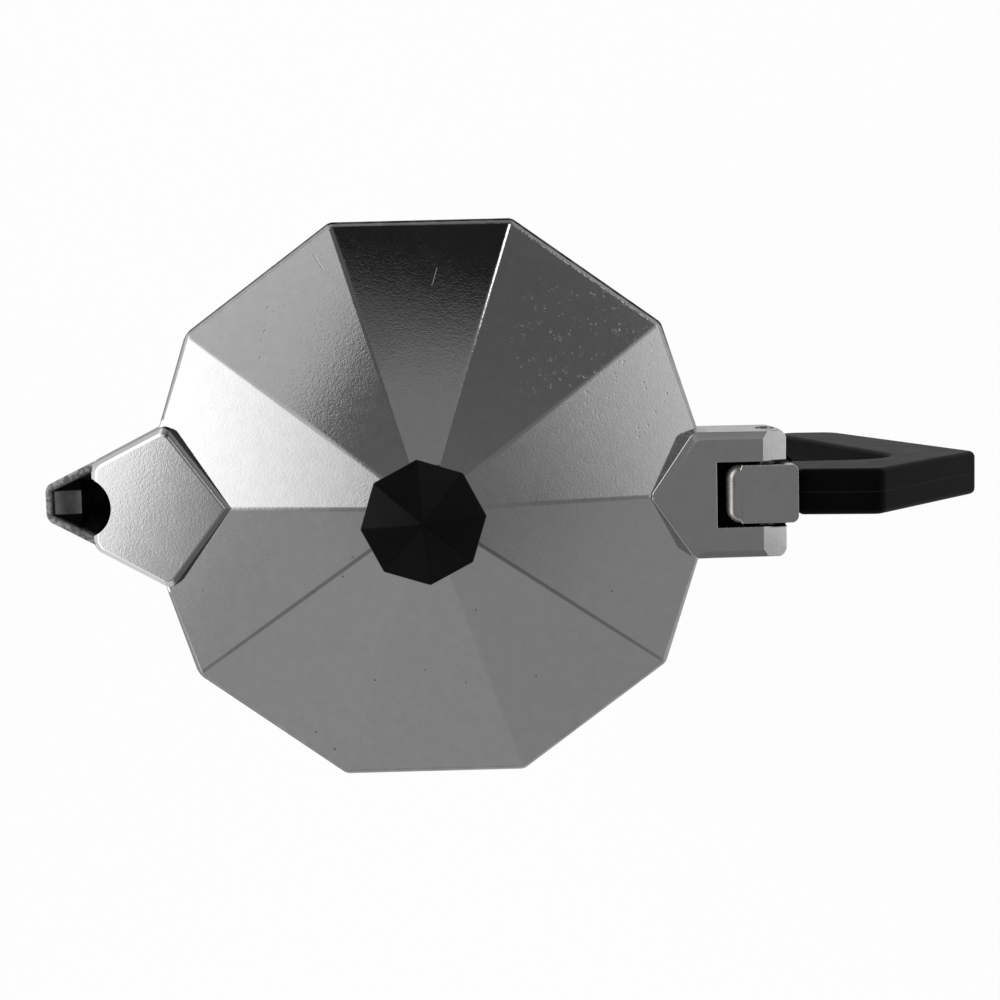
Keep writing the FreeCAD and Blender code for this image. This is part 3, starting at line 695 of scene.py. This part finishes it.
round_edges(lid, cover_corner_round, 4, lambda m, d, turn: 35 < turn < 100 and abs(d.z) > 0.4
            and m.x < cover_end - 5 and abs(m.y) > 8)
for side in (1, -1):
    middle = Vector((fork_end - knuckle_round, side * (fork_half - knuckle_round), 0))
    for angle in (15, 45, 75):
        away = Vector((math.cos(math.radians(angle)), side * math.sin(math.radians(angle)), 0))
        slice_faces(lid, lambda m: (m - middle).xy.length < 2 * knuckle_round and m.z > roof_edge - 4,
                    middle + knuckle_round * away, away, use_fill=True, clear_outer=True)
round_edges(lid, plate_foot_round, 3, lambda m, d, turn: turn > 10 and abs(d.z) > 0.1
            and fork_apex < m.x < fork_root and m.z > roof_edge and abs(m.y) < 14)
round_edges(lid, ridge_round, 3, lambda m, d, turn: 9 < turn < 14 and 0.25 < abs(d.z) < 0.35
            and m.xy.length < ridge_end or 20 < turn < 40 and abs(d.z) > 0.6 and m.xy.length > 60)
round_edges(lid, roof_edge_round, 3, lambda m, d, turn: 15 < turn < 50 and abs(d.z) < 0.1
            and roof_edge < m.z < roof_edge_top and m.xy.length > rim_inside and m.x > cover_front)
for side, width in ((1, cover_far_round), (-1, cover_near_round)):
    round_edges(lid, width, 3, lambda m, d, turn: 25 < turn < 60 and abs(d.z) < 0.3
                and m.x < cover_end and 0 < side * m.y < cover_half and on_cover_top(m))
round_edges(lid, slope_round, 2, lambda m, d, turn: 8 < turn < 25 and abs(d.z) < 0.5
            and fork_apex < m.x < fork_limit and m.z > fork_low + 1.2)
round_edges(lid, fork_round, 2, lambda m, d, turn: turn > 60 and abs(d.z) < 0.5
            and fork_apex < m.x < fork_limit and m.z > fork_low)
smooth(lid)


def rim_reach(place):
    """Distance from the middle of the lid to the flat side that a place is nearest to."""
    reach = 0
    for turn in range(18, 180, 36):
        reach = abs(place.along(towards(turn, 90))).either(reach)
    return reach


def marks(place, spots):
    """Round spots on the plan, each given by its x, y and radius in mm."""
    plan = plan_of(place)
    return sum(plan.gap((x * mm, y * mm, 0)).fall(0.4 * radius * mm, radius * mm) for x, y, radius in spots)


def lid_wear(place):
    """Pits, scratches and scuffs of the lid's top, at their places, and nicks along the far rim."""
    plan = plan_of(place)
    worn = marks(place, (
        (-32.3, 41.5, 0.3), (-31.0, 40.6, 0.25), (-33.0, 36.6, 0.3), (-33.6, 34.9, 0.2), (-34.0, 31.2, 0.25),
        (46.0, 24.0, 0.3), (46.4, 22.6, 0.3), (51.0, 21.4, 0.35), (50.3, 19.8, 0.25), (48.4, 17.7, 0.3),
        (46.7, 15.0, 0.3), (44.5, 14.5, 0.25), (44.8, 12.6, 0.3), (41.5, 35.2, 0.4)))
    scratches = ((3.4, 49.3, 2.2, 45.2, 0.07), (-22.6, 52.6, -20.2, 48.8, 0.13))
    taper = 0.6 * mm
    for x0, y0, x1, y1, width in scratches:
        start = Vector((x0, y0, 0)) * mm
        run = Vector((x1 - x0, y1 - y0, 0))
        forward = run.normalized()
        across = Vector((-forward.y, forward.x, 0))
        away = abs(plan.along(across) - across.dot(start))
        done = plan.along(forward) - forward.dot(start)
        length = run.length * mm
        line = away.fall(0.4 * width * mm, width * mm)
        worn = worn + line * done.rise(0, taper) * done.fall(length - taper, length)
    scuffs = dots(place, 1.3 * mm, 0.24 * mm) * 0.8 + noise(place, 0.9 * mm, 3).rise(0.58, 0.72)
    scuffed = plan.gap((31 * mm, 32 * mm, 0)).fall(8 * mm, 24 * mm)
    scuffs = scuffs * scuffed * noise(place, 3 * mm, 2).rise(0.42, 0.6)
    reach = rim_reach(place)
    nicks = reach.rise(57.7 * mm, 58.0 * mm) * reach.fall(58.2 * mm, 58.4 * mm)
    nicks = nicks * noise(place, 0.5 * mm, 2).rise(0.42, 0.6)
    nicks = nicks * place.along((0.4, 0.92, 0)).rise(51 * mm, 54 * mm)
    return (worn + scuffs + nicks * 1.5) * facing(place).z.rise(0.2, 0.5)


def lid_bloom(place):
    """Dull underside, which steam stains."""
    return facing(place).z.fall(-0.6, -0.3) * (0.5 + 0.5 * noise(place, 10 * mm, 3))


def rim_band(place, low, high):
    """Turned-down part of the rim, all round, up to a limit of the upward share of its normal."""
    fork = place.x.rise(58.5 * mm, 59.5 * mm)
    cover = place.x.fall(-50 * mm, -49 * mm) * abs(place.y).fall(18.0 * mm, 18.6 * mm)
    edge = rim_reach(place).rise(57.8 * mm, 58.1 * mm) * place.z.rise(199.2 * mm, 199.5 * mm)
    return edge * facing(place).z.fall(low, high) * (1 - fork) * (1 - cover)


def lid_unbuffed(place):
    """Walls of the cover and the fork, and the rim, which the wheel only grazes."""
    return abs(facing(place).z).fall(0.3, 0.6).either(rim_band(place, 0.90, 0.953))


def lid_shade_and_spots(place):
    """Painted shade in the fork's notch, along the rim and on the cover's walls, and dark dirt in small
    spots.
    """
    face = facing(place)
    # Painted shade: the notch between the fork's prongs is painted black.
    depth = place.z.fall(204.4 * mm, 205.1 * mm) * place.x.rise(60.2 * mm, 60.8 * mm)
    notch_shade = depth * abs(place.y).fall(7.0 * mm, 7.3 * mm)
    patchy = 0.8 + 0.2 * noise(place, 2 * mm, 3).rise(0.4, 0.6)
    # Painted shade: the far rim band is painted dark, and the near rim band a little darker, most on the
    # left.
    far = face.along((0.3, 0.95, 0)).rise(0.3, 0.6) * place.x.fall(50 * mm, 54 * mm)
    left = face.along((-0.95, -0.31, 0)).rise(0.4, 0.65)
    rim_shade = rim_band(place, 0.72, 0.84) * far * patchy
    rim_shade = rim_shade + rim_band(place, 0.88, 0.95) * (1 - far) * (0.1 + 0.3 * left)
    # Painted shade: the cover's walls that face the fork, and a little its sides, are painted dark.
    walls = 0.7 * face.along((0.8, 0.6, 0)).rise(0.5, 0.8) + 0.75 * face.along((0.8, -0.6, 0)).rise(0.35, 0.6)
    cover = (walls + 0.3 * abs(face.y).rise(0.7, 0.85)) * place.x.fall(-41 * mm, -40 * mm)
    spots = 0.6 * marks(place, (
        (-25.3, -49.2, 0.3), (-21.5, -53.2, 0.4), (-48.2, -17.9, 0.25), (-33.7, -9.9, 0.3),
        (-15.6, -10.1, 0.35), (-17.8, -14.2, 0.3), (-24.1, -17.7, 0.3), (-12.1, -37.2, 0.3),
        (-1.4, -35.1, 0.25), (7.1, -38.3, 0.25), (9.6, -22.0, 0.25), (22.0, -37.5, 0.3), (38.4, -19.8, 0.3)))
    return notch_shade.either(spots).either(rim_shade.either(cover))


lid.data.materials.append(cast_aluminium("lid_aluminium", lid_bloom, lid_wear, lid_unbuffed, lid_shade_and_spots))
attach(lid, "lid")
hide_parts("lid")

# Hinge pin. A drawn steel rod through the fork and the lug, held by its tight fit in
# the fork, so that the lid turns on it.
pin_low, pin_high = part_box("hinge_pin")
pin_middle = (Vector(pin_low) + Vector(pin_high)) / 2
pin_axle = (0, 1, 0)
pin_dark, pin_light = (0.05, 0.05, 0.05, 1), (0.2, 0.2, 0.2, 1)
dress(turned_metal("hinge_pin_steel", pin_middle, pin_axle, pin_dark, pin_light, 0.3), "hinge_pin")

# Knob. Eight-sided black bakelite with a shallow pyramid on top, moulded on a brass
# insert and held by a screw and washer from under the lid.
knob = casting("lid_knob", "knob_moulding")
knob_round = 0.22
knob_rough, knob_gloss = 0.12, 0.2
round_edges(knob, knob_round, 3, lambda m, d, turn: turn > 5)
smooth(knob)
knob.data.materials.append(bakelite("knob_bakelite", knob_rough, knob_gloss))
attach(knob, "lid")
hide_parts("lid_knob")
dress(turned_metal("knob_insert_brass", pot_middle, upright, brass_dark, brass_light, 0.2), "knob_insert")
dress(turned_metal("knob_screw_steel", pot_middle, upright, steel_dark, steel_light, 0.2),
      "knob_screw", "knob_washer")
